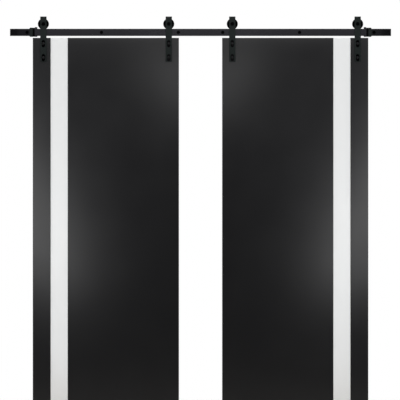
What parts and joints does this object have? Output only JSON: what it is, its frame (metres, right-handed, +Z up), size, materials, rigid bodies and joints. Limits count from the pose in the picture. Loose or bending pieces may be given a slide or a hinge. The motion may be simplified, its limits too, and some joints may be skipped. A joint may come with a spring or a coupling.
{
  "type": "double barn door",
  "caption": "Double sliding barn door: black slabs with full-height glass strips, hung by strap hangers and grooved wheels on a flat wall rail with end stops.",
  "frame": {"origin": "on the wall plane, at mid height of the rail, half way between the two doors", "axes": "+X along the rail to the right as seen from the room, +Y into the wall, +Z up"},
  "size_m": [2.1198, 0.127, 2.1509],
  "materials": {
    "door_black": "satin black film on an engineered wood slab",
    "steel_black": "fine matt black powder coat on flat steel bar",
    "bolt_black": "black oxide on steel fasteners",
    "wheel_black": "turned black nylon",
    "rubber_black": "matt black moulded rubber",
    "bearing_steel": "ground bearing steel with pressed shields",
    "glass_pale": "pale satin glass"
  },
  "bodies": {
    "track": {"rail": "steel_black", "left_inner_spacer": "steel_black", "left_middle_spacer": "steel_black", "left_outer_spacer": "steel_black", "right_inner_spacer": "steel_black", "right_middle_spacer": "steel_black", "right_outer_spacer": "steel_black", "wall_bolts": "bolt_black", "wall_washers": "bolt_black", "left_stop_clamp": "steel_black", "left_stop_buffer": "rubber_black", "left_stop_strike": "steel_black", "right_stop_clamp": "steel_black", "right_stop_buffer": "rubber_black", "right_stop_strike": "steel_black", "stop_screws": "bolt_black"},
    "left_door": {"left_wide_panel": "door_black", "left_narrow_stile": "door_black", "left_glass": "glass_pale", "left_glass_seals": "rubber_black", "left_inner_strap": "steel_black", "left_outer_strap": "steel_black", "left_inner_axle": "bolt_black", "left_outer_axle": "bolt_black", "left_axle_nuts": "bolt_black", "left_axle_collars": "bolt_black", "left_door_bolts": "bolt_black", "left_bolt_plates": "bolt_black", "left_door_washers": "bolt_black", "left_door_nuts": "bolt_black"},
    "right_door": {"right_wide_panel": "door_black", "right_narrow_stile": "door_black", "right_glass": "glass_pale", "right_glass_seals": "rubber_black", "right_inner_strap": "steel_black", "right_outer_strap": "steel_black", "right_inner_axle": "bolt_black", "right_outer_axle": "bolt_black", "right_axle_nuts": "bolt_black", "right_axle_collars": "bolt_black", "right_door_bolts": "bolt_black", "right_bolt_plates": "bolt_black", "right_door_washers": "bolt_black", "right_door_nuts": "bolt_black"},
    "left_inner_roller": {"left_inner_wheel": "wheel_black", "left_inner_bearing": "bearing_steel"},
    "left_outer_roller": {"left_outer_wheel": "wheel_black", "left_outer_bearing": "bearing_steel"},
    "right_inner_roller": {"right_inner_wheel": "wheel_black", "right_inner_bearing": "bearing_steel"},
    "right_outer_roller": {"right_outer_wheel": "wheel_black", "right_outer_bearing": "bearing_steel"}
  },
  "joints": [
    {"name": "left_slide", "type": "slide", "parent": "track", "child": "left_door", "axis": [1, 0, 0], "range_m": [-0.008, 0.1192]},
    {"name": "right_slide", "type": "slide", "parent": "track", "child": "right_door", "axis": [-1, 0, 0], "range_m": [-0.008, 0.1192]},
    {"name": "left_inner_roll", "type": "hinge", "parent": "left_door", "child": "left_inner_roller", "pos_m": [-0.1767, -0.041, 0.0468], "axis": [0, 1, 0], "continuous": true},
    {"name": "left_outer_roll", "type": "hinge", "parent": "left_door", "child": "left_outer_roller", "pos_m": [-0.8742, -0.041, 0.0468], "axis": [0, 1, 0], "continuous": true},
    {"name": "right_inner_roll", "type": "hinge", "parent": "right_door", "child": "right_inner_roller", "pos_m": [0.1767, -0.041, 0.0468], "axis": [0, -1, 0], "continuous": true},
    {"name": "right_outer_roll", "type": "hinge", "parent": "right_door", "child": "right_outer_roller", "pos_m": [0.8742, -0.041, 0.0468], "axis": [0, -1, 0], "continuous": true}
  ],
  "couplings": [
    {"joint": "left_inner_roll", "follows": "left_slide", "rad_per_m": 37.736},
    {"joint": "left_outer_roll", "follows": "left_slide", "rad_per_m": 37.736},
    {"joint": "right_inner_roll", "follows": "right_slide", "rad_per_m": 37.736},
    {"joint": "right_outer_roll", "follows": "right_slide", "rad_per_m": 37.736}
  ]
}
